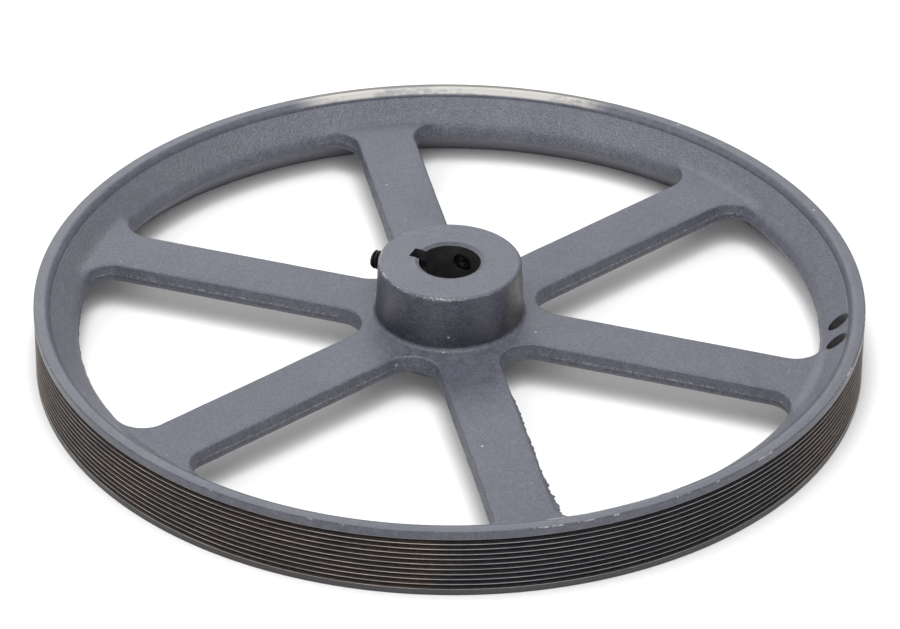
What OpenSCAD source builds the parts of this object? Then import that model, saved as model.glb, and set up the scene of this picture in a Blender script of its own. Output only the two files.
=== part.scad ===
// Six-arm multi-rib belt pulley: one casting with a finished bore, and two set screws.
// Frame: the bore axis is Z, Z = 0 is the plane the rim rests on, +Z is the long side of the hub.

/* [Rim] */
// Diameter over the groove crests
outside_d = 340; // [300:5:380]
// Width of the rim face
face_w = 29.6; // [28.5:0.1:34]
// Thickness of the rim at its upper edge, down to the crease
rim_top_t = 6.9; // [6:0.1:8.5]
// Thickness of the rim at its lower edge
rim_bottom_t = 5.7; // [4.5:0.1:7]
// Depth of the rim section, from the outside diameter to the inner ridge
rim_depth = 17.4; // [15:0.1:20]
// How far the upper edge of the inner ridge lies below the tops of the arms
ridge_drop = 2.6; // [0.5:0.1:4]
// Width of the rounded shoulder at the upper inner edge
shoulder_w = 3.1; // [2:0.1:3.6]
// Drop of that shoulder
shoulder_h = 1.8; // [1:0.1:2.2]
// Chamfer on the two outer edges of the rim
edge_chamfer = 0.4; // [0.2:0.1:0.8]

/* [Belt grooves] */
// Number of V grooves
groove_count = 10; // [6:1:11]
// Groove pitch
groove_pitch = 2.34; // [2.3:0.01:2.4]
// Included angle of a groove
groove_angle = 40; // [36:1:42]
// Depth of a groove
groove_depth = 2.1; // [1.6:0.1:2.2]
// Flat left on each crest
crest_flat = 0.28; // [0.2:0.02:0.4]
// Height of the middle of the grooves above the middle of the rim face
groove_shift = -0.4; // [-0.6:0.1:0.6]

/* [Arms] */
// Number of arms
arm_count = 6; // [5:1:7]
// Width of an arm
arm_w = 25.1; // [20:0.1:28]
// Thickness of the arms
arm_t = 8; // [7:0.1:9.5]
// Height of the underside of the arms above the resting plane
arm_z = 12.4; // [11:0.1:13]
// Direction of the first arm
arm_phase = 41.6; // [36:0.1:46]
// Fillet radius in the corners of the windows, at the hub
window_fillet = 12; // [8:0.5:13]
// Fillet radius in the corners of the windows, at the rim
outer_fillet = 10; // [5:0.5:13]

/* [Hub] */
// Length of the hub
hub_len = 38.1; // [37.5:0.05:44]
// Height of the lower end of the hub above the resting plane
hub_bottom = 6.35; // [5.5:0.05:7.2]
// Hub diameter at its upper end
hub_top_d = 58.8; // [55:0.1:60]
// Hub diameter at the arms
hub_base_d = 60.5; // [60:0.1:62]
// Fillet between the hub and the arms
hub_fillet = 1.8; // [1:0.1:2.4]
// Chamfer on the end edges of the hub
hub_chamfer = 0.6; // [0.3:0.1:1.2]

/* [Bore and keyway] */
// Bore diameter
bore_d = 25.4; // [22:0.1:28]
// Chamfer at each end of the bore
bore_chamfer = 0.4; // [0.2:0.1:1.2]
// Keyway width
key_w = 6.35; // [5:0.05:7]
// Keyway floor, measured from the bore axis
key_floor = 16.9; // [15.4:0.05:17.5]
// Direction of the keyway
key_dir = 156; // [150:1:162]

/* [Set screws] */
// Outside diameter of a set screw
screw_d = 7.92; // [7.8:0.02:7.96]
// Diameter of the tapped holes
tap_d = 8.04; // [8.02:0.02:8.08]
// Length of a set screw
screw_len = 12.7; // [10:0.1:13]
// Height of the set screws
screw_z = 36.6; // [35:0.1:38]
// Distance of the keyway screw's point from the bore axis
keyway_screw_at = 21.7; // [18:0.1:24]
// Distance of the side screw's point from the bore axis
side_screw_at = 13; // [13:0.1:18]
// Width across flats of the hexagon sockets
socket_af = 3.97; // [3:0.01:4.2]
// Depth of the hexagon sockets
socket_depth = 4.8; // [3:0.1:5]

/* [Balance holes] */
// Diameter of the two balance holes
balance_d = 8; // [6:0.1:8.4]
// Height of the bottom of the balance holes
balance_z = 14.5; // [13:0.1:16]
// Direction of the first balance hole
balance_dir = -3.93; // [-5:0.01:-3]
// Angle between the two holes
balance_step = 5.27; // [4.8:0.01:5.6]

/* [Hidden] */

casting_color = [0.42, 0.43, 0.47];
screw_color = [0.09, 0.09, 0.1];

// Facets round a full circle
rim_facets = 240;
hub_facets = 160;
bore_facets = 128;
small_facets = 64;

// How far a cut runs past the face it opens
cut = 1;

// Rim: the crease is where the shoulder meets the conical inner face
outer_r = outside_d / 2;
ridge_r = outer_r - rim_depth;
arm_top = arm_z + arm_t;
ridge_z = arm_top - ridge_drop;
crease_r = outer_r - rim_top_t;
crease_z = face_w - shoulder_h - 0.5;

// The web ends a little beyond where the tops of the arms run into the conical face
web_overlap = 0.4;
web_r = ridge_r + (crease_r - ridge_r) * ridge_drop / (crease_z - ridge_z) + web_overlap;

// Half the angle from one arm to the next
half_step = 180 / arm_count;

balance_r = outer_r - 10.8;

// Hub: its section starts inside the bore, at hub_core_r
hub_core_r = 8;
hub_top = hub_bottom + hub_len;
hub_top_r = hub_top_d / 2;
hub_bottom_r = hub_top_r + 0.1;
hub_foot_r = hub_base_d / 2 - 0.1;

side_dir = key_dir - 90;
// The tapped holes start inside the bore
tap_start = 6;

// Set screw ends
cup_depth = 1.1;
cup_r = 1.9;
point_r = 2.2;
screw_chamfer = 0.6;

// Points along an arc about [x, y], from one angle to another.
function arc(x, y, radius, from, to, steps) =
  [for (i = [0:steps])
    let (angle = from + (to - from) * i / steps)
    [x + radius * cos(angle), y + radius * sin(angle)]];

// The four corners of one belt groove, from its lower lip to its upper lip.
function groove(i) =
  let (middle = face_w / 2 + groove_shift + (i - (groove_count - 1) / 2) * groove_pitch,
       lip = (groove_pitch - crest_flat) / 2,
       root = lip - groove_depth * tan(groove_angle / 2),
       root_r = outer_r - groove_depth)
  [[outer_r, middle - lip], [root_r, middle - root],
   [root_r, middle + root], [outer_r, middle + lip]];

// Radial section of the rim, as [radius, z]: a wedge whose ridge is thinner than the arms.
function rim_section() = concat(
  [[ridge_r, arm_z], [outer_r - rim_bottom_t, 0],
   [outer_r - edge_chamfer, 0], [outer_r, edge_chamfer]],
  [for (i = [0:groove_count - 1]) each groove(i)],
  [[outer_r, face_w - edge_chamfer], [outer_r - edge_chamfer, face_w],
   // Rounded shoulder
   [crease_r + shoulder_w, face_w],
   [crease_r + shoulder_w * 0.45, face_w - shoulder_h * 0.28],
   [crease_r + 0.05, face_w - shoulder_h],
   // Conical face, ending in the blunted upper edge of the ridge
   [crease_r, crease_z], [ridge_r + 0.6, ridge_z + 0.2], [ridge_r, ridge_z - 0.4]]);

module rim() {
  rotate_extrude($fn = rim_facets) polygon(rim_section());
}

// Section of the hub, as [radius, z], with its draft and the fillets where it meets the arms.
function hub_section() =
  let (fillet_r = hub_foot_r + hub_fillet,
       inset = 1,
       steps = 4)
  concat(
    [[hub_core_r, hub_bottom], [hub_bottom_r - hub_chamfer, hub_bottom],
     [hub_bottom_r, hub_bottom + hub_chamfer]],
    arc(fillet_r, arm_z - hub_fillet, hub_fillet, 180, 90, steps),
    [[fillet_r, arm_z + inset], [fillet_r, arm_top - inset]],
    arc(fillet_r, arm_top + hub_fillet, hub_fillet, 270, 180, steps),
    [[hub_top_r, hub_top - hub_chamfer], [hub_top_r - hub_chamfer, hub_top],
     [hub_core_r, hub_top]]);

module hub() {
  rotate_extrude($fn = hub_facets) polygon(hub_section());
}

// Outline of one window between two arms, with its middle along +X.
// Its outer corners are tangent to the ridge, and it then runs outwards past the edge of the web.
function window_outline() =
  let (steps = 10,
       side = 90 + half_step,
       hub_x = (arm_w / 2 + window_fillet) / sin(half_step),
       corner_r = ridge_r - outer_fillet,
       corner_dir = half_step - asin((arm_w / 2 + outer_fillet) / corner_r),
       x = corner_r * cos(corner_dir),
       y = corner_r * sin(corner_dir),
       far = web_r + 6,
       far_x = far * cos(corner_dir),
       far_y = far * sin(corner_dir))
  concat(
    arc(hub_x, 0, window_fillet, 270 - half_step, side, steps),
    arc(x, y, outer_fillet, side, corner_dir, steps),
    [[far_x, far_y], [far * 1.1, 0], [far_x, -far_y]],
    arc(x, -y, outer_fillet, -corner_dir, -side, steps));

module window(k) {
  translate([0, 0, arm_z - cut]) rotate([0, 0, arm_phase + half_step + 2 * half_step * k])
    linear_extrude(height = arm_t + 2 * cut) polygon(window_outline());
}

// Flat web with its windows, leaving the arms. Its edge lies inside the rim.
module web() {
  difference() {
    translate([0, 0, arm_z]) cylinder(r = web_r, h = arm_t, $fn = rim_facets);
    for (k = [0:arm_count - 1]) window(k);
  }
}

// Bore with a 45-degree chamfer at each end.
module bore() {
  r = bore_d / 2;
  cone_h = bore_chamfer + cut;
  translate([0, 0, hub_bottom - cut]) cylinder(r = r, h = hub_len + 2 * cut, $fn = bore_facets);
  translate([0, 0, hub_bottom - cut])
    cylinder(r1 = r + cone_h, r2 = r, h = cone_h, $fn = bore_facets);
  translate([0, 0, hub_top - bore_chamfer])
    cylinder(r1 = r, r2 = r + cone_h, h = cone_h, $fn = bore_facets);
}

module keyway() {
  rotate([0, 0, key_dir])
    translate([0, -key_w / 2, hub_bottom - cut]) cube([key_floor, key_w, hub_len + 2 * cut]);
}

// Points +Z of a part outwards at screw height, starting at a distance from the bore axis.
module outwards(dir, distance) {
  translate([0, 0, screw_z]) rotate([0, 90, dir]) translate([0, 0, distance]) children();
}

// A hole through the hub wall into the bore.
module tapped_hole(dir) {
  outwards(dir, tap_start) cylinder(d = tap_d, h = hub_base_d / 2, $fn = small_facets);
}

module balance_hole(dir) {
  rotate([0, 0, dir]) translate([balance_r, 0, balance_z])
    cylinder(d = balance_d, h = face_w, $fn = small_facets);
}

module pulley_casting() {
  color(casting_color)
  difference() {
    union() {
      rim();
      web();
      hub();
    }
    bore();
    keyway();
    tapped_hole(key_dir);
    tapped_hole(side_dir);
    balance_hole(balance_dir);
    balance_hole(balance_dir - balance_step);
  }
}

// A headless socket set screw with a cup point. The point is at Z = 0.
module set_screw() {
  r = screw_d / 2;
  difference() {
    rotate_extrude($fn = small_facets)
      polygon([
        [0, cup_depth], [cup_r, 0], [point_r, 0], [r, r - point_r],
        [r, screw_len - screw_chamfer], [r - screw_chamfer, screw_len], [0, screw_len]]);
    translate([0, 0, screw_len - socket_depth])
      cylinder(r = socket_af / 2 / cos(30), h = socket_depth + cut, $fn = 6);
  }
}

module keyway_set_screw() {
  color(screw_color) outwards(key_dir, keyway_screw_at) set_screw();
}

module side_set_screw() {
  color(screw_color) outwards(side_dir, side_screw_at) set_screw();
}

pulley_casting();
keyway_set_screw();
side_set_screw();
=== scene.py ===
"""A painted cast-iron pulley with ten belt grooves, six arms and two set screws in its hub.

The bore lies along Z and the rim's lower face is at z = 0. Seen from the camera, +X is right
and +Y is back. Shapes are worked out in millimetres and stored in metres. Angles run
anticlockwise from +X, seen from above.
"""
import math
from functools import cached_property
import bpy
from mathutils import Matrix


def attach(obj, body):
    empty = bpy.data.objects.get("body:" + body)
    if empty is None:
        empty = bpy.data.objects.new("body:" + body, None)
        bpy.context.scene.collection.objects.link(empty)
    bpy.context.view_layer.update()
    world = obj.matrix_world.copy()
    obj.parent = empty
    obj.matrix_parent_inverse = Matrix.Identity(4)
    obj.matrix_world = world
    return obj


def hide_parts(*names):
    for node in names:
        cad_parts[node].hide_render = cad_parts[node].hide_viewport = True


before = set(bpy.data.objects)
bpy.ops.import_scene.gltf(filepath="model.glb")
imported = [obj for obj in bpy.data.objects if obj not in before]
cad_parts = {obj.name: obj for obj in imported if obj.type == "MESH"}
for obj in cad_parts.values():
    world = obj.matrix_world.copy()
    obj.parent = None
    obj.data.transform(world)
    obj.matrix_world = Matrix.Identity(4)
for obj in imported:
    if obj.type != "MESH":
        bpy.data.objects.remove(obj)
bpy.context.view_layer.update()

from types import SimpleNamespace

import bmesh
import bpy
import numpy as np
from mathutils import Matrix, Vector
from mathutils.geometry import delaunay_2d_cdt

MM = 0.001
TAU = 2 * math.pi
SIXTH = math.pi / 3

# ---------------------------------------------------------------- sizes, in millimetres
# rim
RIM_R = 170.0                      # outside radius over the groove crests
RIM_H = 29.6                       # height of the upper land
RIDGE_R = 152.6                    # inner ridge of the rim
CREASE_R, CREASE_Z = 163.1, 27.2   # where the upper cone meets the land
CONE_SLOPE = 0.895
FOOT_R, FOOT_Z = 164.3, 0.12       # inner edge of the lower land
LAND_R = 166.3                     # where the upper land becomes flat
GROOVES, GROOVE_PITCH, GROOVE_DEPTH = 10, 2.34, 2.1
GROOVE_MID = 14.4                  # middle height of the grooved zone
HOLE_ANGLES = (-3.93, -9.20)       # degrees, two drilled holes in the upper cone
HOLE_AT, HOLE_R = 159.2, 4.0
# arms and the windows between them
ARM_LO, ARM_HI = 12.4, 20.4
ARM_HALF = 12.55                   # half the arm's width
ARM_ANGLE = math.radians(41.6)     # direction of the first arm
HUB_CORNER = 12.0                  # window corner radius at the hub
# window corner radii at the rim: clockwise end, anticlockwise end
RIM_CORNERS = ((12.0, 12.0), (12.0, 12.5), (10.5, 9.5), (9.5, 5.0), (6.5, 10.5), (10.5, 12.0))
ROUND = 1.05                       # width of the casting's rounded edges
FLASH_WINDOW = 4                   # the window with heavy flash on its clockwise arm
# hub
HUB_R = 29.4                       # at the upper end
HUB_LOW_R = HUB_R + 0.2            # at the lower end
HUB_LO, HUB_HI = 6.35, 44.45
HUB_FILLET = 1.8
HUB_ROOT = 30.25 + HUB_FILLET + 0.1  # outer edge of the fillets onto the arms
HUB_FACE_R = 22.0                  # innermost ring of the end faces
BORE = 12.7
EDGE_BREAK = 0.30
SINK_R, SINK_AT = 14.3, (0.1, 0.8)  # shallow countersink, off the bore's centre
KEY_W, KEY_FLOOR, KEY_DIR = 6.35, 16.9, math.radians(156.0)
# set screws
SIDE_DIR = KEY_DIR - math.pi / 2
SCREW_Z, SCREW_L, SCREW_R = 36.6, 12.7, 3.93
THREAD_PITCH = 25.4 / 18
KEY_SCREW_AT, SIDE_SCREW_AT = 21.7, 13.0  # inner ends, from the bore's axis
# points round the rim and the hub
RIM_POINTS, HUB_POINTS = 480, 176


# ---------------------------------------------------------------- numeric tools
def hashed(i, j, k, seed):
    h = (i * 374761393 + j * 668265263 + k * 2147483647 + seed * 144665) & 0xFFFFFFFF
    h = ((h ^ (h >> 13)) * 1274126177) & 0xFFFFFFFF
    h = ((h ^ (h >> 16)) * 2246822519) & 0xFFFFFFFF
    return ((h ^ (h >> 15)) & 0xFFFFFF) / float(0x7FFFFF) - 1.0


def noise(points, size, seed):
    """Smooth value noise in -1..1 at n x 3 points, with features about `size` mm across."""
    scaled = np.asarray(points, float) / size + 512.0
    cell = np.floor(scaled).astype(np.int64)
    f = scaled - cell
    f = f * f * f * (f * (f * 6 - 15) + 10)
    out = np.zeros(len(scaled))
    for dx in (0, 1):
        wx = f[:, 0] if dx else 1 - f[:, 0]
        for dy in (0, 1):
            wy = f[:, 1] if dy else 1 - f[:, 1]
            for dz in (0, 1):
                wz = f[:, 2] if dz else 1 - f[:, 2]
                corner = hashed(cell[:, 0] + dx, cell[:, 1] + dy, cell[:, 2] + dz, seed)
                out += wx * wy * wz * corner
    return out


def smooth_max(a, b, width):
    h = np.clip(0.5 + 0.5 * (a - b) / width, 0, 1)
    return b * (1 - h) + a * h + width * h * (1 - h)


def smooth_min(a, b, width):
    return -smooth_max(-a, -b, width)


def smooth_step(x, start, end):
    t = np.clip((x - start) / (end - start), 0, 1)
    return t * t * (3 - 2 * t)


def turned_by(points, angle):
    c, s = math.cos(angle), math.sin(angle)
    x, y = points[:, 0], points[:, 1]
    return np.column_stack([x * c - y * s, x * s + y * c])


# ---------------------------------------------------------------- the windows between the arms
def window_loop(k, line_step, arc_step):
    """Clockwise outline of window k, its middle along +X: points, and normals into the metal."""
    points, normals = [], []

    def on_circle(cx, cy, radius, angle):
        return cx + radius * math.cos(angle), cy + radius * math.sin(angle)

    def arc(cx, cy, radius, start, end, step):
        count = max(3, int(round(abs(end - start) * radius / step)))
        for i in range(count):
            t = start + (end - start) * i / count
            points.append(on_circle(cx, cy, radius, t))
            normals.append((math.cos(t), math.sin(t)))

    def line(p0, p1, facing):
        count = max(1, int(round(math.dist(p0, p1) / line_step)))
        for i in range(count):
            points.append(tuple(a + (b - a) * i / count for a, b in zip(p0, p1)))
            normals.append((math.cos(facing), math.sin(facing)))

    def rim_corner(radius):
        reach = RIDGE_R - radius
        angle = math.pi / 6 - math.asin((ARM_HALF + radius) / reach)
        return reach * math.cos(angle), reach * math.sin(angle), angle

    d120, d240 = math.radians(120), math.radians(240)
    low, high = RIM_CORNERS[k]
    low_x, low_y, low_angle = rim_corner(low)
    high_x, high_y, high_angle = rim_corner(high)
    near = (ARM_HALF + HUB_CORNER) / math.sin(math.pi / 6)
    start = on_circle(near, 0, HUB_CORNER, d120)
    arc(near, 0, HUB_CORNER, d240, d120, arc_step)
    line(start, on_circle(high_x, high_y, high, d120), d120)
    arc(high_x, high_y, high, d120, high_angle, arc_step)
    arc(0, 0, RIDGE_R, high_angle, -low_angle, line_step)
    arc(low_x, -low_y, low, -low_angle, -d120, arc_step)
    line(on_circle(low_x, -low_y, low, -d120), (start[0], -start[1]), -d120)
    return np.array(points), np.array(normals)


COARSE_LOOPS = [window_loop(k, line_step=5.0, arc_step=1.6)[0] for k in range(6)]


def window_gap(x, y):
    """Distance from the nearest window's outline, negative inside a window."""
    turn = np.mod(np.arctan2(y, x) - ARM_ANGLE, TAU)
    which = np.minimum((turn / SIXTH).astype(int), 5)
    r = np.hypot(x, y)
    out = np.empty(len(x))
    for k, loop in enumerate(COARSE_LOOPS):
        chosen = np.nonzero(which == k)[0]
        t = turn[chosen] - (k + 0.5) * SIXTH
        px, py = r[chosen] * np.cos(t), r[chosen] * np.sin(t)
        best = np.full(len(chosen), 1e9)
        inside = np.zeros(len(chosen), bool)
        for (ax, ay), (bx, by) in zip(loop, np.roll(loop, -1, 0)):
            ex, ey = bx - ax, by - ay
            u = np.clip(((px - ax) * ex + (py - ay) * ey) / (ex * ex + ey * ey), 0, 1)
            best = np.minimum(best, np.hypot(px - ax - u * ex, py - ay - u * ey))
            if ay != by:
                inside ^= ((ay > py) != (by > py)) & (px < ax + (py - ay) * ex / ey)
        out[chosen] = np.where(inside, -best, best)
    return out


# ---------------------------------------------------------------- cast surfaces, heights over the plan
WAVES = ((0.07, 22.0, 3), (0.045, 7.5, 5), (0.02, 3.2, 7))  # height, feature size, seed


def wave(x, y, z):
    points = np.stack([x, y, np.full_like(x, z)], 1)
    return sum(height * noise(points, size, seed) for height, size, seed in WAVES)


def cast_wave(x, y, layer, calm, calm_from, calm_to):
    """Roughness of an upper or lower surface: strong on the rim's cone, calmer by `calm` outside."""
    r = np.hypot(x, y)
    rough = 0.6 + 1.6 * smooth_step(r, 150.5, 154.0) - calm * smooth_step(r, calm_from, calm_to)
    return wave(x, y, layer) * rough * smooth_step(r, 32.0, 36.0)


def top_shape(x, y):
    """Smooth upper surface: the arms, running into the cone, whose ridge drops between arms."""
    r = np.hypot(x, y)
    t = np.mod(np.arctan2(y, x) - ARM_ANGLE + math.pi / 6, SIXTH) - math.pi / 6
    from_arm = np.abs(r * np.sin(t))
    angle = np.degrees(np.arctan2(y, x)) % 360
    full_drop = 6.0
    shallow = 1 - 0.5 * np.exp(-((angle - 81) / 9.0) ** 2)  # a shallower place at the back
    drop = full_drop * smooth_step(from_arm, ARM_HALF + 8, ARM_HALF + 28)
    drop = drop * smooth_step(r, 136, 147) * shallow
    return smooth_max(ARM_HI - drop, CREASE_Z + (r - CREASE_R) * CONE_SLOPE, 1.5)


def top_height(x, y):
    return top_shape(x, y) + cast_wave(x, y, 40.0, calm=1.3, calm_from=159.5, calm_to=163.1)


def low_height(x, y):
    r = np.hypot(x, y)
    cone = (FOOT_R - r) * (ARM_LO / (FOOT_R - RIDGE_R - 0.3))
    height = smooth_min(np.full_like(r, ARM_LO), cone, 1.6)
    return height + cast_wave(x, y, -40.0, calm=2.2, calm_from=161.0, calm_to=FOOT_R)


def top_round(r):
    """Width of the rounding along the windows' upper edges, larger along the rim's ridge."""
    return ROUND + 1.25 * smooth_step(r, 148.0, 152.5)


def low_round(r):
    return ROUND


# ---------------------------------------------------------------- mesh building
class Builder:
    """Gathers points in millimetres and faces, and makes a mesh of them."""

    def __init__(self):
        self.blocks, self.face_list, self.count = [], [], 0

    def add(self, points):
        points = np.asarray(points, float).reshape(-1, 3)
        ids = np.arange(self.count, self.count + len(points))
        self.blocks.append(points)
        self.count += len(points)
        return ids

    def points(self):
        return np.concatenate(self.blocks)

    def faces(self, rows):
        self.face_list.extend(map(tuple, np.asarray(rows).tolist()))

    def strip(self, a, b, flip=False):
        """Quads between two closed rings with the same number of points."""
        quads = np.stack([a, np.roll(a, -1), np.roll(b, -1), b], 1)
        self.faces(quads[:, ::-1] if flip else quads)

    def cap(self, ids, upward):
        """One face across a ring."""
        self.faces([ids if upward else ids[::-1]])

    def fan(self, ids, pole, upward):
        """Triangles from a ring to a new point."""
        pole_ids = np.full(len(ids), self.add([pole])[0])
        triangles = np.stack([pole_ids, ids, np.roll(ids, -1)], 1)
        self.faces(triangles if upward else triangles[:, ::-1])

    def mesh(self, name):
        mesh = bpy.data.meshes.new(name)
        mesh.from_pydata((self.points() * MM).tolist(), [], self.face_list)
        mesh.update()
        return mesh


def ring(r, z, count, centre=(0.0, 0.0)):
    t = np.arange(count) * TAU / count
    x, y = r * np.cos(t) + centre[0], r * np.sin(t) + centre[1]
    return np.stack([x, y, np.broadcast_to(z, t.shape)], 1)


# triangle grids of the upper and lower surfaces: spacing, from radius, to radius
GRIDS = ((2.9, 0, 148.5), (1.75, 148.5, 400))


def grid_points(r_out, round_width):
    """Staggered points inside the metal, finer on the rim, clear of every boundary."""
    kept = []
    for step, r_from, r_to in GRIDS:
        columns = int(2 * r_out / step) + 2
        rows = int(2 * r_out / (step * 0.866)) + 2
        j, i = np.mgrid[0:rows, 0:columns]
        x = ((i + 0.5 * (j % 2)) * step - r_out).ravel()
        y = (j * step * 0.866 - r_out).ravel()
        r = np.hypot(x, y)
        gap = window_gap(x, y) - round_width(r)
        ok = (r >= r_from + (0.45 * step if r_from else 0)) & (r < r_to)
        ok &= (r > HUB_ROOT + 0.55 * step) & (r < r_out - 0.6 * step) & (gap > 0.6 * step)
        kept.append(np.stack([x[ok], y[ok]], 1))
    return np.concatenate(kept)


def metal_triangles(plan, triangles, walls, r_out, round_width):
    """Marks the triangles in the metal, spreading from sure ones up to the boundary edges."""
    def sides_of(face):
        return [tuple(sorted((face[i], face[(i + 1) % len(face)]))) for i in range(len(face))]

    sharing = {}
    for n, face in enumerate(triangles):
        for side in sides_of(face):
            sharing.setdefault(side, []).append(n)
    centres = np.array([plan[list(face)].mean(0) for face in triangles])
    r = np.hypot(centres[:, 0], centres[:, 1])
    gap = window_gap(centres[:, 0], centres[:, 1])
    sure = (gap > round_width(r) + 1.2) & (r > HUB_ROOT + 1.5) & (r < r_out - 1.5)
    todo = np.nonzero(sure)[0].tolist()
    inside = sure.tolist()
    while todo:
        for side in sides_of(triangles[todo.pop()]):
            if side in walls:
                continue
            for neighbour in sharing[side]:
                if not inside[neighbour]:
                    inside[neighbour] = True
                    todo.append(neighbour)
    return inside


def sheet(b, height, round_width, r_out, rings, upward):
    """Fills the plan between the boundary rings with a graded triangle mesh."""
    ids = np.concatenate(rings)
    boundary = b.points()[ids][:, :2]
    edges = []
    base = 0
    for loop in rings:
        count = len(loop)
        edges += [(base + i, base + (i + 1) % count) for i in range(count)]
        base += count
    points = np.concatenate([boundary, grid_points(r_out, round_width)])
    result = delaunay_2d_cdt([Vector(p) for p in points.tolist()], edges, [], 0, 1e-4)
    triangles, sources = result[2], result[3]
    plan = np.array([(p[0], p[1]) for p in result[0]])

    mesh_id, plan_id, fresh = {}, {}, []
    for i, source in enumerate(sources):
        first = min(source) if source else -1
        if 0 <= first < len(boundary):
            mesh_id[i] = int(ids[first])
        else:
            fresh.append(i)
        for s in source:
            plan_id[s] = i
    x, y = plan[fresh, 0], plan[fresh, 1]
    for i, new_id in zip(fresh, b.add(np.column_stack([x, y, height(x, y)]))):
        mesh_id[i] = int(new_id)

    walls = {tuple(sorted((plan_id[p], plan_id[q]))) for p, q in edges}
    inside = metal_triangles(plan, triangles, walls, r_out, round_width)
    for face, in_metal in zip(triangles, inside):
        if not in_metal:
            continue
        x, y = plan[list(face)].T
        area = 0.5 * np.sum(x * np.roll(y, -1) - np.roll(x, -1) * y)
        face_ids = [mesh_id[i] for i in face]
        if (area > 0) != upward:
            face_ids = face_ids[::-1]
        b.face_list.append(tuple(face_ids))


# ---------------------------------------------------------------- the casting
# rounded outer edges of the rim: in from the rim's radius, in from its face
RIM_ROUND = ((0.7, 0.0), (0.38, 0.0), (0.16, 0.06), (0.04, 0.2), (0.0, 0.42))


def rim_profile():
    """(radius, height) from the crease, over the land, down the belt face, to the foot."""
    profile = [(163.13, 27.55), (163.2, 27.84)]
    for r in (163.65, 164.2, 164.9, 165.6):
        profile.append((r, RIM_H - 1.75 * ((LAND_R - r) / 3.1) ** 2))
    profile += [(LAND_R, RIM_H), (167.6, RIM_H)]
    profile += [(RIM_R - inset, RIM_H - depth) for inset, depth in RIM_ROUND]
    profile.append((RIM_R, RIM_H - 0.75))

    top = GROOVE_MID + GROOVES * GROOVE_PITCH / 2
    lip = (GROOVE_PITCH - 0.28) / 2   # half the groove's mouth
    root = 0.30                       # half the groove's floor
    profile.append((RIM_R, top + 0.30))
    for i in range(GROOVES):
        z = top - (i + 0.5) * GROOVE_PITCH
        if i == 0:
            profile += [(RIM_R, z + lip + 0.1), (RIM_R - 0.05, z + lip)]
        profile += [
            (RIM_R - GROOVE_DEPTH + 0.16, z + root),
            (RIM_R - GROOVE_DEPTH, z),
            (RIM_R - GROOVE_DEPTH + 0.16, z - root),
        ]
        if i < GROOVES - 1:
            profile += [
                (RIM_R - 0.10, z - lip + 0.02),
                (RIM_R - 0.03, z - lip - 0.14),
                (RIM_R - 0.10, z - lip - 0.30),
            ]
        else:
            profile += [(RIM_R - 0.05, z - lip), (RIM_R, z - lip - 0.1)]
    profile += [(RIM_R, GROOVE_MID - GROOVES * GROOVE_PITCH / 2 - 0.30), (RIM_R, 0.75)]
    profile += [(RIM_R - inset, depth) for inset, depth in reversed(RIM_ROUND)]
    return profile + [(166.5, 0.0), (164.75, 0.0)]


# rounded ends of the hub: in from the wall's radius, in from the end face, share of roughness
HUB_TOP_ROUND = (
    (0.0, 1.45, 0.9), (0.07, 1.0, 0.8), (0.24, 0.58, 0.6), (0.54, 0.25, 0.4),
    (0.95, 0.06, 0.2), (1.5, 0.0, 0), (2.2, 0.0, 0),
)
HUB_LOW_ROUND = (
    (0.0, 0.95, 0.7), (0.1, 0.5, 0.5), (0.32, 0.2, 0.3), (0.65, 0.04, 0.1),
    (1.0, 0.0, 0), (1.6, 0.0, 0),
)


def hub_half(b, start, arm_z, end_z, end_r, wall_inset, wall_steps, rounding):
    """The hub from the arms to one end: fillet, drafted wall, rounded edge and end face."""
    upper = end_z > arm_z
    sign = 1 if upper else -1
    profile = []
    for degrees in (18, 36, 54, 72, 90):
        t = math.radians(degrees)
        r = HUB_ROOT - HUB_FILLET * math.sin(t)
        profile.append((r, arm_z + sign * HUB_FILLET * (1 - math.cos(t)), 0.5))
    r0, z0, _ = profile[-1]
    for i in range(1, wall_steps):
        t = i / wall_steps
        z = z0 + (end_z - sign * wall_inset - z0) * t
        profile.append((r0 + (end_r - r0) * t, z, 1.0))
    profile += [(end_r - inset, end_z - sign * depth, rough) for inset, depth, rough in rounding]
    profile.append((HUB_FACE_R, end_z, 0))

    previous = start
    for r, z, rough in profile:
        points = ring(r, z, HUB_POINTS)
        if rough:
            scale = 1 + rough * wave(points[:, 0], points[:, 1], z * 1.7) / r
            points[:, :2] *= scale[:, None]
        current = b.add(points)
        b.strip(previous, current, flip=upper)
        previous = current
    b.cap(previous, upward=upper)


def flash_depth(k, plan, points):
    """How far the mould's flash stands out of the wall of window k."""
    r = np.hypot(plan[:, 0], plan[:, 1])
    angle = np.degrees(np.arctan2(plan[:, 1], plan[:, 0])) % 360
    jagged = np.clip(0.55 + 0.9 * noise(points, 1.9, 21) + 0.35 * noise(points, 5.0, 22), 0, 2)
    teeth = np.clip(0.5 + 1.3 * noise(points, 1.25, 23) + 0.3 * noise(points, 4.0, 24), 0, 1.6)
    heavy = np.zeros(len(plan))
    if k == FLASH_WINDOW:  # the right side of the arm that points to the front
        heavy += smooth_step(r, 52, 70) * (angle < 311) * (r < 148) * 0.75
        near_rim = smooth_step(r, 118, 139) * (1 - smooth_step(r, 147.0, 150.5))
        heavy += near_rim * (angle < 311) * 0.75
    if k == 2:  # along the rim at the left
        heavy += smooth_step(r, 145, 150) * (angle > 166) * 0.12
    return 0.10 + 0.22 * jagged + heavy * (0.95 + 0.50 * teeth)


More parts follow.
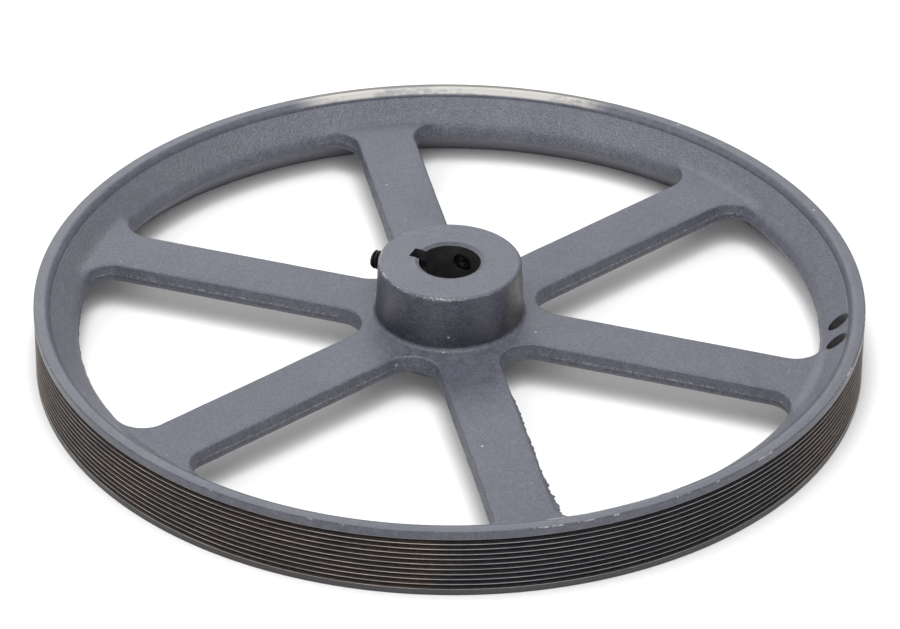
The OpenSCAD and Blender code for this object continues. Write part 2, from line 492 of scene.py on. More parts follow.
def window_wall(b, k):
    """The wall of window k with its rounded edges and flash. Returns its top and bottom rings."""
    outline, normals = window_loop(k, 0.95 if k == FLASH_WINDOW else 1.4, 0.9)
    middle = ARM_ANGLE + math.pi / 6 + k * SIXTH
    plan, into = turned_by(outline, middle), turned_by(normals, middle)
    width = top_round(np.hypot(plan[:, 0], plan[:, 1]))
    edge = plan + into * width[:, None]
    top = top_height(edge[:, 0], edge[:, 1])
    reach = 0.4
    beyond = edge + into * reach
    rise = top_shape(beyond[:, 0], beyond[:, 1]) - top_shape(edge[:, 0], edge[:, 1])
    slope = rise / reach
    round_foot = top - slope * width - ROUND - 0.35 * (width - ROUND)

    def bend(s):
        """Offset and height of a point of the upper rounding."""
        z = (1 - s) ** 2 * top + 2 * s * (1 - s) * (top - slope * width) + s * s * round_foot
        return (1 - s) ** 2 * width, z

    low_edge = plan + into * ROUND
    low = low_height(low_edge[:, 0], low_edge[:, 1])
    mid = (round_foot + low + ROUND) / 2
    half = np.minimum(0.75, 0.25 * (round_foot - low - ROUND))  # half height of the raised band
    points = np.column_stack([plan, np.full(len(plan), 16.0)])
    wobble = 0.10 * noise(points, 9.0, 11) + 0.07 * noise(points, 3.0, 12)
    flash = flash_depth(k, plan, points)

    rows = [  # offset into the metal, height, share of the wobble
        (width, top, 0),
        (*bend(0.3), 0.3),
        (*bend(0.62), 0.6),
        (0.0, round_foot, 1),
        (-0.15, (round_foot + mid + half) / 2, 1),
        (-0.28, mid + half, 1),
        (-0.34 - flash, mid + 0.22 + 0.1 * wobble, 0.6),
        (-0.34 - flash, mid - 0.20 + 0.1 * wobble, 0.6),
        (-0.28, mid - half, 1),
        (-0.15, (low + ROUND + mid - half) / 2, 1),
        (0.0, low + ROUND, 1),
        (ROUND * 0.15, low + ROUND * 0.48, 0.6),
        (ROUND * 0.50, low + ROUND * 0.14, 0.3),
        (ROUND, low, 0),
    ]
    rings = []
    for offset, z, share in rows:
        moved = plan + into * (offset + share * wobble)[:, None]
        rings.append(b.add(np.column_stack([moved, z])))
        if len(rings) > 1:
            b.strip(rings[-2], rings[-1], flip=True)
    return rings[0], rings[-1]


def casting_blank():
    """The casting before it is bored, keyed and drilled."""
    b = Builder()
    crease = ring(CREASE_R, CREASE_Z, RIM_POINTS)
    crease[:, 2] = top_height(crease[:, 0], crease[:, 1])
    top_outer = b.add(crease)
    low_outer = b.add(ring(FOOT_R, FOOT_Z, RIM_POINTS))
    top_inner = b.add(ring(HUB_ROOT, ARM_HI, HUB_POINTS))
    low_inner = b.add(ring(HUB_ROOT, ARM_LO, HUB_POINTS))

    previous = top_outer
    for r, z in rim_profile():
        current = b.add(ring(r, z, RIM_POINTS))
        b.strip(previous, current)
        previous = current
    b.strip(previous, low_outer)

    hub_half(b, top_inner, ARM_HI, HUB_HI, HUB_R,
             wall_inset=1.5, wall_steps=10, rounding=HUB_TOP_ROUND)
    hub_half(b, low_inner, ARM_LO, HUB_LO, HUB_LOW_R,
             wall_inset=1.0, wall_steps=5, rounding=HUB_LOW_ROUND)
    tops, lows = zip(*[window_wall(b, k) for k in range(6)])
    sheet(b, top_height, top_round, CREASE_R, [top_outer, top_inner, *tops], upward=True)
    sheet(b, low_height, low_round, FOOT_R, [low_outer, low_inner, *lows], upward=False)
    return b


# ---------------------------------------------------------------- solids, cuts and screws
def lathe(profile, count=96, centre=(0.0, 0.0)):
    """A solid of revolution from (radius, z) points. The first and last lie on the axis."""
    b = Builder()
    previous = None
    for r, z in profile[1:-1]:
        current = b.add(ring(r, z, count, centre))
        if previous is None:
            b.fan(current, (*centre, profile[0][1]), upward=False)
        else:
            b.strip(previous, current)
        previous = current
    b.fan(previous, (*centre, profile[-1][1]), upward=True)
    return b


def prism(outline, z0, z1):
    b = Builder()
    low = b.add([(x, y, z0) for x, y in outline])
    high = b.add([(x, y, z1) for x, y in outline])
    b.strip(low, high)
    b.cap(low, upward=False)
    b.cap(high, upward=True)
    return b


def thread_radius(phase, crest, root):
    """Radius at a phase of the thread: 0 is mid-crest, 0.5 is mid-root."""
    crest_flat, root_start = 0.14, 0.78
    d = np.abs(np.mod(phase + 0.5, 1.0) - 0.5) * 2
    return crest + (root - crest) * np.clip((d - crest_flat) / (root_start - crest_flat), 0, 1)


def threaded(length, crest, root, count, rows, envelope, low_end=(), high_end=()):
    """A rod with a single right-hand thread, trimmed to envelope(z).

    Its ends are flat, or follow (radius, z) points whose last lies on the axis.
    """
    b = Builder()
    t = np.arange(count) * TAU / count
    rings = []
    for z in np.linspace(0, length, rows + 1):
        r = thread_radius(z / THREAD_PITCH - t / TAU, crest, root)
        r = np.minimum(r, envelope(z))
        rings.append(b.add(np.stack([r * np.cos(t), r * np.sin(t), np.full(count, z)], 1)))
        if len(rings) > 1:
            b.strip(rings[-2], rings[-1])
    for last, upward, profile in ((rings[0], False, low_end), (rings[-1], True, high_end)):
        for r, z in profile[:-1]:
            current = b.add(ring(r, z, count))
            b.strip(last, current, flip=not upward)
            last = current
        if profile:
            b.fan(last, (0, 0, profile[-1][1]), upward)
        else:
            b.cap(last, upward)
    return b


def radial_matrix(direction, at):
    """Lays a piece built along +Z out from the bore's axis, at the screws' height."""
    return (Matrix.Translation((0, 0, SCREW_Z * MM)) @ Matrix.Rotation(direction, 4, "Z")
            @ Matrix.Rotation(math.pi / 2, 4, "Y") @ Matrix.Translation((0, 0, at * MM)))


def link(name, data):
    obj = bpy.data.objects.new(name, data)
    bpy.context.scene.collection.objects.link(obj)
    return obj


def as_object(b, name, matrix=None):
    mesh = b.mesh(name)
    if matrix is not None:
        mesh.transform(matrix)
    bm = bmesh.new()
    bm.from_mesh(mesh)
    bmesh.ops.recalc_face_normals(bm, faces=bm.faces[:])
    bm.to_mesh(mesh)
    bm.free()
    return link(name, mesh)


def cut(obj, cutters):
    """Subtracts the cutters and removes them."""
    for cutter in cutters:
        modifier = obj.modifiers.new("cut", "BOOLEAN")
        modifier.operation = "DIFFERENCE"
        modifier.solver = "MANIFOLD"
        modifier.object = cutter
    depsgraph = bpy.context.evaluated_depsgraph_get()
    mesh = bpy.data.meshes.new_from_object(obj.evaluated_get(depsgraph), depsgraph=depsgraph)
    obj.modifiers.clear()
    old = obj.data
    obj.data = mesh
    bpy.data.meshes.remove(old)
    for cutter in cutters:
        mesh = cutter.data
        bpy.data.objects.remove(cutter)
        bpy.data.meshes.remove(mesh)


def finish_mesh(obj, sharp_deg, crisp=None):
    """Welds slivers and smooths the shading, but for true edges and those with crisp ends."""
    bm = bmesh.new()
    bm.from_mesh(obj.data)
    bmesh.ops.remove_doubles(bm, verts=bm.verts[:], dist=2e-6)
    bmesh.ops.dissolve_degenerate(bm, edges=bm.edges[:], dist=1e-6)
    limit = math.radians(sharp_deg)
    for face in bm.faces:
        face.smooth = True
    for edge in bm.edges:
        angle = edge.calc_face_angle(0) if len(edge.link_faces) == 2 else 0
        kept = crisp and angle > 0.06 and all(crisp(v.co) for v in edge.verts)
        edge.smooth = not (angle > limit or kept)
    bm.to_mesh(obj.data)
    bm.free()
    obj.data.name = obj.name + "_mesh"


def key_outline():
    """The keyway in plan, with small floor corners."""
    half, corner = KEY_W / 2, 0.35
    inner = 4  # starts inside the bore
    points = [
        (inner, -half), (KEY_FLOOR - corner, -half), (KEY_FLOOR - 0.1, -half + 0.1),
        (KEY_FLOOR, -half + corner), (KEY_FLOOR, half - corner),
        (KEY_FLOOR - 0.1, half - 0.1), (KEY_FLOOR - corner, half), (inner, half),
    ]
    return turned_by(np.array(points), KEY_DIR).tolist()


def hole_centres():
    for degrees in HOLE_ANGLES:
        t = math.radians(degrees)
        yield HOLE_AT * math.cos(t), HOLE_AT * math.sin(t)


def tap_limit(z):
    """Trims the tapped hole to a plain bore at its inner end."""
    return 4.08 + 0.34 * float(smooth_step(z, 6.5, 9.0))


def build_casting():
    body = as_object(casting_blank(), "pulley_wheel")
    wide = BORE + EDGE_BREAK + 2
    cutters = [
        as_object(lathe([
            (0, HUB_LO - 2), (wide, HUB_LO - 2), (BORE, HUB_LO + EDGE_BREAK),
            (BORE, HUB_HI - EDGE_BREAK), (wide, HUB_HI + 2), (0, HUB_HI + 2),
        ], 160), "cut_bore"),
        as_object(lathe([
            (0, HUB_HI - 1.2), (8.3, HUB_HI - 1.2), (SINK_R, HUB_HI),
            (SINK_R + 1, HUB_HI + 0.2), (SINK_R + 1, HUB_HI + 3), (0, HUB_HI + 3),
        ], 160, centre=SINK_AT), "cut_sink"),
        as_object(prism(key_outline(), -2, HUB_HI + 2), "cut_key"),
    ]
    for i, direction in enumerate((KEY_DIR, SIDE_DIR)):
        tap = threaded(26, crest=4.03, root=4.42, count=40, rows=150, envelope=tap_limit)
        cutters.append(as_object(tap, f"cut_tap{i}", radial_matrix(direction, 7.5)))
    for i, centre in enumerate(hole_centres()):
        drill = lathe([(0, 13.2), (0.6, 13.4), (HOLE_R, 15.3), (HOLE_R, 34), (0, 34)],
                      48, centre=centre)
        cutters.append(as_object(drill, f"cut_hole{i}"))
    cut(body, cutters)
    finish_mesh(body, 33, crisp=lambda v: v.z > (HUB_HI - 0.02) * MM
                and math.hypot(v.x, v.y) < 17.5 * MM)
    return body


def build_screw(name, direction, at):
    """A set screw with a cup point and a hexagon socket."""
    def envelope(z):
        return min(3.2 + z, SCREW_R, SCREW_R - 0.75 + (SCREW_L - z) * 1.15)

    rod = as_object(threaded(
        SCREW_L, crest=SCREW_R, root=SCREW_R - 0.80, count=56, rows=120, envelope=envelope,
        low_end=[(2.15, 0.0), (1.95, 0.1), (0.9, 0.75), (0, 1.05)],
        high_end=[(2.9, SCREW_L), (2.6, SCREW_L - 0.06), (0, SCREW_L - 0.06)],
    ), name)
    flats, turn = 3.97, 14  # hexagon across flats, and its turn in degrees
    corner = flats / 2 / math.cos(math.pi / 6)
    angles = [math.radians(60 * i + turn) for i in range(6)]
    hexagon = [(corner * math.cos(t), corner * math.sin(t)) for t in angles]
    socket = as_object(prism(hexagon, SCREW_L - 4.8, SCREW_L + 2), "hex")
    lead = as_object(lathe([
        (0, SCREW_L - 0.42), (1.9, SCREW_L - 0.42), (2.5, SCREW_L + 0.02),
        (2.5, SCREW_L + 1), (0, SCREW_L + 1),
    ], 48), "lead")
    drill = as_object(lathe([
        (0, SCREW_L - 5.7), (1.75, SCREW_L - 4.9), (1.75, SCREW_L - 3), (0, SCREW_L - 3),
    ], 32), "drill")
    cut(rod, [socket, lead, drill])
    rod.data.transform(radial_matrix(direction, at))
    finish_mesh(rod, 30)
    return rod


casting = build_casting()
key_screw = build_screw("keyway_screw_body", KEY_DIR, KEY_SCREW_AT)
side_screw = build_screw("side_screw_body", SIDE_DIR, SIDE_SCREW_AT)


# ---------------------------------------------------------------- material tools
class Value:
    """A number in a node tree. Arithmetic on it adds math nodes."""

    def __init__(self, nodes, socket):
        self.nodes, self.socket = nodes, socket

    def __add__(self, other):
        return self.nodes.math("ADD", self, other)

    def __radd__(self, other):
        return self.nodes.math("ADD", other, self)

    def __sub__(self, other):
        return self.nodes.math("SUBTRACT", self, other)

    def __mul__(self, other):
        return self.nodes.math("MULTIPLY", self, other)

    def __truediv__(self, other):
        return self.nodes.math("DIVIDE", self, other)

    def __pow__(self, other):
        return self.nodes.math("POWER", self, other)

    def __abs__(self):
        return self.nodes.math("ABSOLUTE", self)


class Nodes:
    """Builds a material's node tree. Positions are object coordinates in millimetres."""

    def __init__(self, name):
        self.material = bpy.data.materials.new(name)
        self.material.use_nodes = True
        self.tree = self.material.node_tree
        self.tree.nodes.clear()
        output = self.tree.nodes.new("ShaderNodeOutputMaterial")
        self.bsdf = self.tree.nodes.new("ShaderNodeBsdfPrincipled")
        self.tree.links.new(self.bsdf.outputs[0], output.inputs[0])
        coordinates = self.tree.nodes.new("ShaderNodeTexCoord")
        self.position = self.tint(coordinates.outputs["Object"], 1000.0)

    def node(self, kind, inputs, **settings):
        """A new node, its inputs given by name or number as values, colours or sockets."""
        node = self.tree.nodes.new("ShaderNode" + kind)
        for key, value in settings.items():
            setattr(node, key, value)
        for key, value in inputs.items():
            self.put(node.inputs[key], value)
        return node

    def put(self, socket, value):
        value = getattr(value, "socket", value)
        if isinstance(value, bpy.types.NodeSocket):
            self.tree.links.new(value, socket)
        elif isinstance(value, tuple):
            socket.default_value = (*value, 1.0)
        else:
            socket.default_value = value

    def separate(self, vector):
        return [Value(self, s) for s in self.node("SeparateXYZ", {0: vector}).outputs]

    @cached_property
    def xyz(self):
        return self.separate(self.position)

    @cached_property
    def radius(self):
        x, y, _ = self.xyz
        return self.math("SQRT", x * x + y * y)

    @cached_property
    def angle(self):
        return self.math("ARCTAN2", self.xyz[1], self.xyz[0])

    @cached_property
    def normal_z(self):
        return self.separate(self.node("NewGeometry", {}).outputs["Normal"])[2]

    def math(self, operation, *values):
        node = self.node("Math", dict(enumerate(values)), operation=operation)
        return Value(self, node.outputs[0])

    def larger(self, a, b):
        return self.math("MAXIMUM", a, b)

    def fade(self, value, over, to=(0.0, 1.0)):
        """Smoothly from to[0] where value = over[0] to to[1] where value = over[1]."""
        (start, low), (end, high) = sorted(zip(over, to))
        inputs = {"Value": value, "From Min": start, "From Max": end,
                  "To Min": low, "To Max": high}
        node = self.node("MapRange", inputs, interpolation_type="SMOOTHSTEP")
        return Value(self, node.outputs["Result"])

    def band(self, value, low, high, soft):
        """1 between low and high, fading over `soft` either side of each."""
        return (self.fade(value, over=(low - soft, low + soft))
                * self.fade(value, over=(high + soft, high - soft)))

    def noise(self, scale, detail=2.0, rough=0.5, at=None):
        inputs = {"Vector": at or self.position, "Scale": scale,
                  "Detail": detail, "Roughness": rough}
        return Value(self, self.node("TexNoise", inputs).outputs[0])

    def voronoi(self, scale, feature="F1", **inputs):
        inputs = {"Vector": self.position, "Scale": scale, **inputs}
        node = self.node("TexVoronoi", inputs, feature=feature)
        return Value(self, node.outputs["Distance"])

    def mix(self, share, a, b):
        node = self.node("Mix", {}, data_type="RGBA")
        for index, value in ((0, share), (6, a), (7, b)):
            self.put(node.inputs[index], value)
        return node.outputs[2]

    def tint(self, colour, factor):
        """A colour or vector multiplied by a number."""
        node = self.node("VectorMath", {}, operation="SCALE")
        self.put(node.inputs[0], colour)
        self.put(node.inputs["Scale"], factor)
        return node.outputs[0]

    def vector(self, x, y, z):
        return self.node("CombineXYZ", {0: x, 1: y, 2: z}).outputs[0]

    def bump(self, height, mm):
        inputs = {"Strength": 1.0, "Distance": mm * MM, "Height": height}
        return self.node("Bump", inputs).outputs[0]

    def surface(self, **inputs):
        for key, value in inputs.items():
            self.put(self.bsdf.inputs[key.replace("_", " ")], value)
        return self.material


# ---------------------------------------------------------------- painted iron
def paint_textures(n):
    return SimpleNamespace(
        big=n.noise(scale=0.035, detail=3, rough=0.55),
        mid=n.noise(scale=0.28, detail=3, rough=0.6),
        fine=n.noise(scale=0.95, detail=2, rough=0.55),
        grit=n.noise(scale=2.1, detail=2, rough=0.6),
        cell=n.voronoi(scale=0.85, feature="SMOOTH_F1", Smoothness=0.7),
    )


def paint_masks(n):
    """Where each kind of surface lies on the casting, from 0 to 1."""
    r, fade = n.radius, n.fade
    x, y, z = n.xyz
    on = SimpleNamespace()
    on.across = x / r  # -1 at the left to 1 at the right
    on.along = y / r   # -1 at the front to 1 at the back
    on.cone = fade(r, over=(151.5, 154.5)) * fade(r, over=(163.2, 162.8))
    on.wall = fade(abs(n.normal_z), over=(0.72, 0.45)) * fade(r, over=(154.5, 153.6))
    on.land = fade(r, over=(163.0, 163.3))
    hub_top = fade(r, over=(29.6, 29.2)) * fade(z, over=(44.0, 44.2))
    on.hub_side = fade(r, over=(31.2, 30.6)) * (
        fade(z, over=(21.0, 22.5)) * fade(z, over=(44.2, 43.6)))
    from_sink = n.math("SQRT", (x - SINK_AT[0]) ** 2.0 + (y - SINK_AT[1]) ** 2.0)
    on.sink = (fade(from_sink, over=(SINK_R + 0.1, SINK_R - 0.1))
               * fade(z, over=(42.8, 43.0)))
    # as cast, and turned before painting, each by its strength on each surface
    wall_rough = on.wall * fade(r, over=(31.5, 34.0), to=(0.35, 0.95))
    on.rough_cast = n.larger(on.cone * 1.15, wall_rough)
    on.turned = n.larger(on.land, n.larger(hub_top * 0.45, on.hub_side * 0.6))
    return on


def paint_bump(n, tex, on):
    """Grain, stronger where rough cast and fainter where turned, and turning marks."""
    grain = tex.fine * 0.55 + (tex.cell * 0.40 + tex.grit * 0.35)
    front_back = n.fade(abs(on.along), over=(0.55, 0.95), to=(0.75, 1.5))
    amount = on.rough_cast * front_back + (0.66 + on.turned * -0.42)
    at = n.vector(n.radius * 2.2, n.xyz[2] * 2.2, 0.0)
    marks = n.noise(scale=1.0, detail=2, rough=0.5, at=at)
    return n.bump(grain * amount + (marks * on.turned) * 0.14, mm=0.30)


def paint_base(n, tex, on, speckle):
    """Blue-grey paint, mottled and toned by surface, with painted sheen on the cone and painted shade
    in the countersink.
    """
    fade = n.fade
    base = n.mix(fade(tex.big, over=(0.35, 0.68)),
                 (0.0680, 0.0705, 0.0905), (0.0790, 0.0810, 0.1000))
    base = n.tint(base, fade(tex.mid, over=(0.30, 0.70), to=(0.88, 1.12)))
    base = n.tint(base, fade(tex.fine, over=(0.34, 0.66), to=(0.86, 1.14)))
    front_back = fade(abs(on.along), over=(0.55, 0.95), to=(-0.08, 0.18))
    contrast = on.rough_cast * front_back + (0.30 + on.turned * -0.20)
    base = n.tint(base, 1.0 + speckle * contrast)
    # painted sheen: the cone is lighter and greyer, less so at the left, standing in for light off its
    # rough grain; the land is darker
    base = n.tint(base, 1.0 + on.cone * fade(on.across, over=(-0.85, -0.35), to=(0.18, 0.36)))
    base = n.mix(on.cone * 0.35, base, (0.128, 0.128, 0.130))
    base = n.tint(base, 1.0 + on.land * -0.08)
    # painted shade: the countersink is darker where it tilts away from the light
    return n.tint(base, 1.0 + on.sink * -0.38)


def paint_hub(n, base, on):
    """Painted shade on the hub side, darkest towards its lower end, with brushed streaks and a brown
    stain on its right.
    """
    fade, z = n.fade, n.xyz[2]
    # painted shade: the hub side darkened, most at its lower end
    base = n.tint(base, 1.0 + on.hub_side * fade(z, over=(22.0, 40.0), to=(-0.58, -0.22)))
    at = n.vector(n.angle * 5.0, 0.0, z * 1.7)
    streak = n.noise(scale=1.0, detail=3, rough=0.6, at=at)
    base = n.tint(base, 1.0 + on.hub_side * fade(streak, over=(0.32, 0.68), to=(-0.22, 0.22)))
    stain = (on.hub_side * fade(on.across, over=(0.72, 0.86))
             * fade(streak, over=(0.40, 0.60), to=(0.3, 0.8)))
    return n.mix(stain, base, (0.105, 0.092, 0.078))


def paint_brown_edges_and_low_shade(n, base, on, around):
    """Brown iron through thin paint on the rim's outer edges. The lower band is darkened almost all
    over, partly painted shade, more at the left.
    """
    fade, r, z = n.fade, n.radius, n.xyz[2]
    upper = fade(r, over=(169.0, 169.8)) * fade(z, over=(29.0, 29.35))
    # partly painted shade: the lower band near the floor darkened towards brown
    lower = fade(r, over=(168.0, 169.5)) * fade(z, over=(3.6, 2.9))
    left = fade(on.across, over=(-0.10, -0.45))
    brown = n.larger(upper * (fade(around, over=(0.42, 0.62)) * 0.45),
                     lower * (0.78 + left * 0.17))
    return n.mix(brown, base, (0.031, 0.027, 0.024))


def paint_parting_line_highlight_and_shade(n, base, on):
    """The mould's parting line on the arms' sides: a broken painted highlight where the flash catches
    the light, over a dark line of painted shade below it.
    """
    fade, r, z = n.fade, n.radius, n.xyz[2]
    side = on.wall * (fade(r, over=(44.0, 48.0)) * fade(r, over=(152.0, 148.0)))
    dash = fade(n.noise(scale=0.85, detail=3, rough=0.7), over=(0.50, 0.58))
    gaps = fade(n.noise(scale=0.6, detail=2, rough=0.6), over=(0.42, 0.55))
    # painted shade under the flash
    dark = side * n.band(z, low=14.2, high=15.4, soft=0.3) * (gaps * -0.55)
    base = n.tint(base, 1.0 + dark)
    # painted highlight along the flash
    light = side * n.band(z, low=15.9, high=16.7, soft=0.2) * (dash * 0.65)
    return n.mix(light, base, (0.30, 0.30, 0.31))


def paint_rear_land_sheen_and_rub(n, base, tex, on, around):
    """The back of the land lightened to cream, partly painted reflection of the lamp behind and partly
    rubbed paint, and its outer part to brown.
    """
    patches = n.fade(around * 0.6 + tex.mid * 0.4, over=(0.40, 0.52), to=(0.50, 0.98))
    # partly painted reflection: the back of the land, where it mirrors the lamp behind
    sheen_and_rub = on.land * n.fade(on.along, over=(0.905, 0.952)) * patches
    sheen_and_rub = sheen_and_rub * n.fade(n.xyz[2], over=(27.9, 28.6))
    sheen_cream, brown = (0.430, 0.410, 0.365), (0.118, 0.102, 0.080)
    return n.mix(sheen_and_rub, base, n.mix(n.fade(n.radius, over=(167.3, 168.3)), sheen_cream, brown))


def paint_wear_and_glints(n, on, around):
    """Chipped edges, nicks at the front right of the land, speckles on the hub's edge that are partly
    painted glint, and stray bright specks of painted glint.
    """
    fade, r, z = n.fade, n.radius, n.xyz[2]
    chip = n.noise(scale=0.35, detail=4, rough=0.7)
    rim_edge = fade(r, over=(169.50, 169.75)) * n.band(z, low=29.2, high=29.75, soft=0.08)
    wear_and_glints = rim_edge * fade(around * 0.62 + chip * 0.38, over=(0.56, 0.62)) * 0.55

    at = n.vector(n.angle * 26.0, r * 1.6, 0.0)
    scratch = n.noise(scale=1.0, detail=3, rough=0.7, at=at)
    place = fade(on.along, over=(-0.80, -0.86)) * (
        fade(on.across, over=(0.19, 0.27)) * fade(on.across, over=(0.55, 0.50)))
    nick = n.band(r, low=163.25, high=165.4, soft=0.2) * place
    wear_and_glints = n.larger(wear_and_glints, nick * fade(scratch, over=(0.49, 0.55)))

    # partly worn paint, partly painted glint: bright speckles on the hub's rounded upper edge, most at
    # the front left
    hub_edge = (fade(r, over=(28.0, 28.7)) * fade(r, over=(30.0, 29.6))
                * fade(z, over=(43.3, 43.9)))
    patches = (n.noise(scale=0.11, detail=2, rough=0.5) * 0.35
               + n.noise(scale=1.5, detail=2, rough=0.7) * 0.65)
    wear_and_glints = n.larger(wear_and_glints, hub_edge * fade(patches, over=(0.50, 0.60))
                    * fade(on.across, over=(0.60, -0.20), to=(0.10, 0.55)))

    # painted glints: sparse bright specks, more of them on the cone
    glint_dots = (fade(n.voronoi(scale=0.085), over=(0.052, 0.034))
            * fade(n.noise(scale=0.05, detail=2, rough=0.5), over=(0.46, 0.54)))
    grain_glints = (fade(n.voronoi(scale=0.30), over=(0.105, 0.070))
                * fade(n.noise(scale=0.12, detail=2, rough=0.6), over=(0.50, 0.60)))
    glint_specks = n.larger(glint_dots * 0.50, grain_glints * (0.25 + on.cone * 0.6) * 0.30)
    return n.larger(wear_and_glints, glint_specks)


def painted_iron():
    n = Nodes("painted_cast_iron")
    x, y, z = n.xyz
    tex, on = paint_textures(n), paint_masks(n)
    speckle = n.fade(tex.grit, over=(0.37, 0.63), to=(-1.0, 1.0))
    at = n.vector(x * 0.045, y * 0.045, z * 0.3)
    around = n.noise(scale=1.0, detail=3, rough=0.65, at=at)  # broad patches round the rim
    base = paint_base(n, tex, on, speckle)
    base = paint_hub(n, base, on)
    base = paint_brown_edges_and_low_shade(n, base, on, around)
    base = paint_parting_line_highlight_and_shade(n, base, on)
    base = paint_rear_land_sheen_and_rub(n, base, tex, on, around)
    wear_and_glints = paint_wear_and_glints(n, on, around)
    roughness = n.fade(tex.mid, over=(0.3, 0.7), to=(0.44, 0.54)) + on.turned * -0.08
    return n.surface(
        Base_Color=n.mix(wear_and_glints, base, (0.62, 0.60, 0.57)),
        Roughness=roughness + speckle * 0.035,
        Metallic=wear_and_glints * 0.4,
        Normal=paint_bump(n, tex, on),
        IOR=1.5,
    )


# ---------------------------------------------------------------- bare metals
def groove_iron():
    """Dark grooves with bright crests, rusty on the left and the far right."""
    n = Nodes("machined_groove_iron")
    r, fade = n.radius, n.fade
    x, y, z = n.xyz
    crest = fade(r, over=(RIM_R - 0.13, RIM_R - 0.035))
    across = x / r
    around = n.noise(scale=1.0, detail=3, rough=0.6, at=n.vector(x * 0.02, y * 0.02, z * 0.10))
    at = n.vector(n.angle * 9.0, r * 1.3, z * 2.5)
    streak = n.noise(scale=1.0, detail=4, rough=0.65, at=at)
    mottle = n.noise(scale=0.55, detail=3, rough=0.65)
    warm = n.larger(fade(across + around * 0.25, over=(0.19, 0.08)),
                    fade(across, over=(0.72, 0.90)))
    rust = warm * fade(around * 0.5 + streak * 0.5, over=(0.38, 0.60), to=(0.35, 1.0))
    deep = n.mix(rust, (0.028, 0.029, 0.031), (0.058, 0.042, 0.033))
    deep = n.tint(deep, fade(mottle, over=(0.3, 0.7), to=(0.70, 1.30)))
    bright = n.mix(rust, (0.38, 0.38, 0.38), (0.55, 0.48, 0.40))
    bright = n.tint(bright, fade(streak, over=(0.30, 0.70), to=(0.60, 1.20)))
    at = n.vector(z * 5.0, r * 5.0, n.angle * 2.0)
    tool_marks = n.noise(scale=1.0, detail=2, rough=0.5, at=at)
    pits = n.noise(scale=1.6, detail=3, rough=0.6)
    return n.surface(
        Base_Color=n.mix(crest, deep, bright),
        Roughness=fade(streak, over=(0.3, 0.7), to=(0.38, 0.55)),
        Metallic=fade(crest, over=(0.0, 1.0), to=(0.20, 0.60)),
        Normal=n.bump(tool_marks * 0.6 + pits * 0.4, mm=0.05),
    )


def bore_iron():
    """Bored metal, dark partly as oxidised iron and partly as painted shade deep in the bore, lighter
    in the rim's drilled holes.
    """
    n = Nodes("bored_iron")
    x, y, z = n.xyz
    stain = n.noise(scale=0.22, detail=3, rough=0.6)
    # partly painted shade: the bore's metal made nearly black
    base = n.mix(n.fade(stain, over=(0.4, 0.65)), (0.032, 0.033, 0.035), (0.046, 0.044, 0.042))
    base = n.tint(base, n.fade(n.radius, over=(60.0, 100.0), to=(1.0, 2.6)))
    at = n.vector(z * 3.2, x * 0.25, y * 0.25)
    tool_marks = n.noise(scale=1.0, detail=2, rough=0.5, at=at)
    return n.surface(
        Base_Color=base,
        Roughness=n.fade(stain, over=(0.3, 0.7), to=(0.36, 0.5)),
        Metallic=0.3,
        Normal=n.bump(tool_marks, mm=0.05),
    )


def black_oxide():
    n = Nodes("black_oxide_steel")
    fleck = n.noise(scale=1.4, detail=3, rough=0.6)
    return n.surface(
        Base_Color=n.mix(n.fade(fleck, over=(0.45, 0.7)),
                         (0.012, 0.012, 0.013), (0.026, 0.025, 0.025)),
        Roughness=n.fade(fleck, over=(0.3, 0.7), to=(0.30, 0.44)),
        Metallic=0.6,
        Normal=n.bump(n.noise(scale=3.0, detail=2, rough=0.5), mm=0.03),
    )


def casting_slots(mesh):
    """Material slot of each face: 0 paint, 1 grooves, 2 bored metal."""
    centres = np.empty(len(mesh.polygons) * 3)
    mesh.polygons.foreach_get("center", centres)
    x, y, z = (centres.reshape(-1, 3) * 1000).T
    r = np.hypot(x, y)
    slots = np.zeros(len(r), np.int32)
    slots[(r > 166.6) & (np.abs(z - GROOVE_MID) < 11.75)] = 1
    slots[(r < KEY_FLOOR + 0.3) & (z > HUB_LO + 0.5) & (z < HUB_HI - 1.3)] = 2
    slots[(r < BORE + 0.25) & (z > HUB_LO + 0.05) & (z < HUB_HI - 0.05)] = 2
    for direction in (KEY_DIR, SIDE_DIR):
        c, s = math.cos(direction), math.sin(direction)
        from_axis = np.hypot(-x * s + y * c, z - SCREW_Z)
        slots[(from_axis < 4.5) & (x * c + y * s > 10) & (r < 28.7)] = 2
    for cx, cy in hole_centres():
        slots[(np.hypot(x - cx, y - cy) < HOLE_R + 0.02) & (z > 12.8)] = 2
    return slots


paint, grooves, bored, oxide = painted_iron(), groove_iron(), bore_iron(), black_oxide()
for obj, materials in (
    (casting, (paint, grooves, bored)), (key_screw, (oxide,)), (side_screw, (oxide,)),
):
    obj.data.materials.clear()
    for material in materials:
        obj.data.materials.append(material)
casting.data.polygons.foreach_set("material_index", casting_slots(casting.data))

for name, material in (
    ("pulley_casting", paint), ("keyway_set_screw", oxide), ("side_set_screw", oxide),
):
    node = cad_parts[name]
    if not node.material_slots:
        node.data.materials.append(material)
    for slot in node.material_slots:
        slot.material = material

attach(casting, "pulley")
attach(key_screw, "keyway_screw")
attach(side_screw, "side_screw")
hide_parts("pulley_casting")
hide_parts("keyway_set_screw")
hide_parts("side_set_screw")


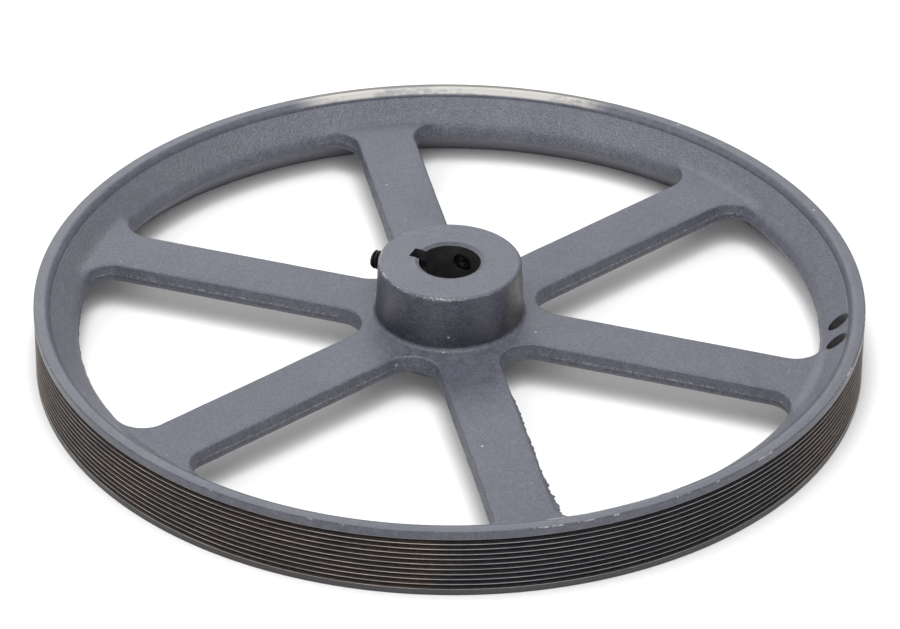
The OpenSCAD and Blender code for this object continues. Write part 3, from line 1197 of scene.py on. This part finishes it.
# ---------------------------------------------------------------- floor, light and camera, in metres
def build_floor():
    bm = bmesh.new()
    bmesh.ops.create_grid(bm, x_segments=1, y_segments=1, size=4.0)
    mesh = bpy.data.meshes.new("floor")
    bm.to_mesh(mesh)
    bm.free()
    material = bpy.data.materials.new("studio_white")
    material.use_nodes = True
    inputs = material.node_tree.nodes["Principled BSDF"].inputs
    inputs["Base Color"].default_value = (0.885, 0.872, 0.84, 1)
    inputs["Roughness"].default_value = 0.9
    inputs["Specular IOR Level"].default_value = 0.1
    mesh.materials.append(material)
    return link("studio_floor", mesh)


COOL = (0.975, 0.985, 1.03)
# name, azimuth and elevation in degrees, distance, width, height, radiance, colour
PANELS = (
    ("back_low", 97, 33, 2.4, 1.5, 0.8, 4.25, (0.97, 0.99, 1.0)),
    ("front_high", 270, 60, 2.4, 1.6, 1.0, 2.5, COOL),
    ("front_low", 270, 25, 2.4, 2.0, 0.9, 2.1, COOL),
    ("left_high", 180, 50, 2.4, 1.2, 1.2, 2.1, COOL),
    ("top_mid", 270, 85, 2.2, 1.5, 1.5, 1.75, COOL),
    ("top_small", 270, 85, 2.2, 0.8, 0.8, 9.1, COOL),
)


def light_panel(name, azimuth, elevation, distance, width, height, radiance, colour):
    """A soft box aimed at the origin."""
    a, e = math.radians(azimuth), math.radians(elevation)
    light = bpy.data.lights.new(name, "AREA")
    light.shape = "RECTANGLE"
    light.size, light.size_y = width, height
    light.energy = math.pi * width * height * radiance
    light.color = colour
    obj = link(name, light)
    place = Vector((distance * math.cos(e) * math.cos(a),
                    distance * math.cos(e) * math.sin(a), distance * math.sin(e)))
    obj.location = place
    obj.rotation_euler = (-place).to_track_quat("-Z", "Y").to_euler()
    obj.visible_camera = False


def build_world():
    world = bpy.data.worlds.new("studio")
    bpy.context.scene.world = world
    world.use_nodes = True
    background = world.node_tree.nodes["Background"]
    background.inputs["Color"].default_value = (*COOL, 1)
    background.inputs["Strength"].default_value = 0.50


def turn_about(axis, degrees):
    """Rotation matrix about axis 0, 1 or 2."""
    i, j = (axis + 1) % 3, (axis + 2) % 3
    t = math.radians(degrees)
    matrix = np.eye(3)
    matrix[i, i] = matrix[j, j] = math.cos(t)
    matrix[i, j], matrix[j, i] = -math.sin(t), math.sin(t)
    return matrix


def build_camera():
    """Looks from the front towards the origin, then turns a little about its own axes."""
    elevation, distance = math.radians(33.225), 1.97986
    turn_x, turn_y, turn_z = -0.452, 0.007, -0.497  # degrees
    data = bpy.data.cameras.new("camera")
    camera = link("camera", data)
    data.sensor_width = 36.0
    data.sensor_fit = "HORIZONTAL"
    data.lens = 191.7998
    data.clip_start, data.clip_end = 0.05, 50.0
    place = np.array([0, -distance * math.cos(elevation), distance * math.sin(elevation)])
    forward = -place / np.linalg.norm(place)
    right = np.array([1.0, 0, 0])
    axes = np.array([right, np.cross(right, forward), -forward])
    axes = turn_about(2, turn_z) @ turn_about(0, turn_x) @ turn_about(1, turn_y) @ axes
    pose = np.eye(4)
    pose[:3, :3] = axes.T
    pose[:3, 3] = place
    camera.matrix_world = Matrix(pose.tolist())
    bpy.context.scene.camera = camera


build_floor()
for panel in PANELS:
    light_panel(*panel)
build_world()
build_camera()
bpy.context.scene.view_settings.view_transform = "Standard"
bpy.context.scene.view_settings.look = "None"
